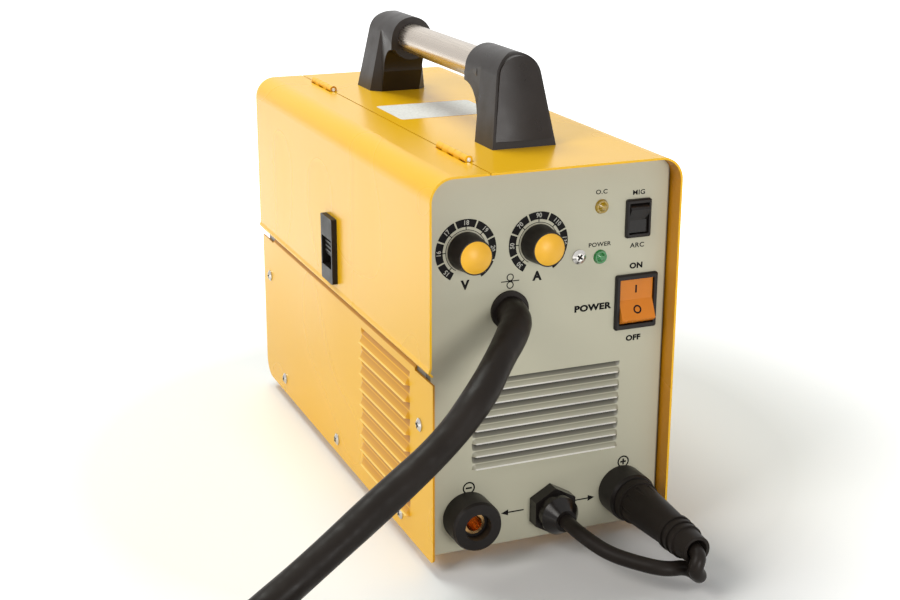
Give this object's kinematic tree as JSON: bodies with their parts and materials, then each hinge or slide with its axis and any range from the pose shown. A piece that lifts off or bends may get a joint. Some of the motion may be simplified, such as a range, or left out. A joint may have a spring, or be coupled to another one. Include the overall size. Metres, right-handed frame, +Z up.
{
  "type": "MIG welding machine",
  "caption": "Compact yellow inverter MIG welder with hinged wire-bay door, top carry handle, two output sockets and a coiled torch lead with its torch",
  "frame": {"origin": "on the surface the rubber feet stand on, under the middle of the case", "axes": "X to the machine's right as seen from its front, Y from the front panel to the rear, Z up"},
  "size_m": [0.3716, 0.6327, 0.2677],
  "materials": {
    "yellow_paint": "semi-gloss yellow powder coat",
    "grey_paint": "satin warm grey paint",
    "steel": "plated steel",
    "chrome_steel": "bright polished steel",
    "aluminium": "mill finish aluminium",
    "brass": "turned brass",
    "copper": "turned copper",
    "black_plastic": "matt black plastic",
    "black_gloss": "smooth black plastic",
    "yellow_plastic": "smooth yellow plastic",
    "orange_plastic": "translucent orange plastic",
    "green_lens": "translucent green lens",
    "yellow_lens": "translucent yellow lens",
    "black_rubber": "matt black rubber",
    "green_board": "glass-fibre circuit board",
    "grey_plastic": "dark grey moulded plastic",
    "iron_core": "ferrite core with enamelled windings",
    "welding_wire": "copper-plated steel wire, level wound"
  },
  "bodies": {
    "machine": {"base_tray": "yellow_paint", "rubber_feet": "black_rubber", "front_panel": "grey_paint", "rear_panel": "grey_paint", "lower_side_panel": "yellow_paint", "right_cover": "yellow_paint", "case_screws": "chrome_steel", "hinge_pins": "steel", "handle_brackets": "black_plastic", "handle_tube": "aluminium", "bay_partition": "steel", "output_sockets": "black_plastic", "socket_contacts": "brass", "cable_glands": "black_gloss", "polarity_lead": "black_rubber", "torch_grommet": "black_rubber", "torch_lead": "black_rubber", "torch_lead_coil": "black_rubber", "torch_lead_tail": "black_rubber", "switch_housings": "black_plastic", "overcurrent_lamp": "yellow_lens", "power_lamp": "green_lens", "potentiometers": "steel", "control_board": "green_board", "power_board": "green_board", "heatsinks": "aluminium", "bus_capacitors": "black_gloss", "wound_components": "iron_core", "fan_frame": "black_plastic", "gas_valve": "brass", "feed_plate": "grey_plastic", "feed_motor": "steel", "wire_guides": "brass", "spool_spindle": "grey_plastic", "spool_nut": "black_plastic", "torch_boot": "black_rubber", "torch_handle": "black_plastic", "torch_neck": "steel", "torch_nozzle": "copper", "torch_contact_tip": "copper"},
    "door": {"door": "yellow_paint", "latch_base": "black_plastic"},
    "latch": {"latch_slider": "black_plastic"},
    "voltage_knob": {"voltage_knob": "black_plastic", "voltage_knob_cap": "yellow_plastic"},
    "current_knob": {"current_knob": "black_plastic", "current_knob_cap": "yellow_plastic"},
    "power_rocker": {"power_rocker": "orange_plastic"},
    "mode_rocker": {"mode_rocker": "black_gloss"},
    "spool": {"wire_spool": "black_plastic", "spool_winding": "welding_wire"},
    "drive_roll": {"drive_roll": "steel"},
    "pressure_arm": {"pressure_arm": "grey_plastic"},
    "pressure_roll": {"pressure_roll": "steel"},
    "tensioner": {"tension_screw": "steel", "tension_knob": "black_plastic"},
    "fan_rotor": {"fan_rotor": "black_plastic"},
    "trigger": {"torch_trigger": "orange_plastic"},
    "polarity_plug": {"polarity_plug_sleeve": "black_rubber", "polarity_plug_pin": "brass"}
  },
  "joints": [
    {"name": "door_hinge", "type": "hinge", "parent": "machine", "child": "door", "pos_m": [-0.039, 0, 0.2192], "axis": [0, 1, 0], "range_deg": [0, 110]},
    {"name": "latch_slide", "type": "slide", "parent": "door", "child": "latch", "axis": [0, 0, 1], "range_m": [-0.006, 0]},
    {"name": "voltage_turn", "type": "hinge", "parent": "machine", "child": "voltage_knob", "pos_m": [-0.048, -0.149, 0.176], "axis": [0, 1, 0], "range_deg": [-135, 135]},
    {"name": "current_turn", "type": "hinge", "parent": "machine", "child": "current_knob", "pos_m": [-0.007, -0.149, 0.176], "axis": [0, 1, 0], "range_deg": [-135, 135]},
    {"name": "power_switch", "type": "hinge", "parent": "machine", "child": "power_rocker", "pos_m": [0.0518, -0.145, 0.1376], "axis": [1, 0, 0], "range_deg": [0, 25]},
    {"name": "mode_switch", "type": "hinge", "parent": "machine", "child": "mode_rocker", "pos_m": [0.0513, -0.145, 0.184], "axis": [-1, 0, 0], "range_deg": [0, 25]},
    {"name": "spool_spin", "type": "hinge", "parent": "machine", "child": "spool", "pos_m": [-0.04, 0.084, 0.1592], "axis": [1, 0, 0], "continuous": true},
    {"name": "drive_roll_spin", "type": "hinge", "parent": "machine", "child": "drive_roll", "pos_m": [-0.0233, -0.092, 0.1258], "axis": [1, 0, 0], "continuous": true},
    {"name": "pressure_arm_lift", "type": "hinge", "parent": "machine", "child": "pressure_arm", "pos_m": [-0.0233, -0.119, 0.1585], "axis": [1, 0, 0], "range_deg": [0, 55]},
    {"name": "pressure_roll_spin", "type": "hinge", "parent": "pressure_arm", "child": "pressure_roll", "pos_m": [-0.0233, -0.092, 0.1532], "axis": [1, 0, 0], "continuous": true},
    {"name": "tension_swing", "type": "hinge", "parent": "machine", "child": "tensioner", "pos_m": [-0.0313, -0.063, 0.1275], "axis": [-1, 0, 0], "range_deg": [-60, 0]},
    {"name": "fan_spin", "type": "hinge", "parent": "machine", "child": "fan_rotor", "pos_m": [0.014, 0.1353, 0.06], "axis": [0, 1, 0], "continuous": true},
    {"name": "trigger_pull", "type": "hinge", "parent": "machine", "child": "trigger", "pos_m": [-0.00211, -0.42832, 0.015], "axis": [0, 0, 1], "range_deg": [0, 6], "stiffness_Nm_per_rad": 0.3},
    {"name": "polarity_plug_twist", "type": "hinge", "parent": "machine", "child": "polarity_plug", "pos_m": [0.0475, -0.198, 0.027], "axis": [0, 1, 0], "range_deg": [-90, 0]}
  ]
}
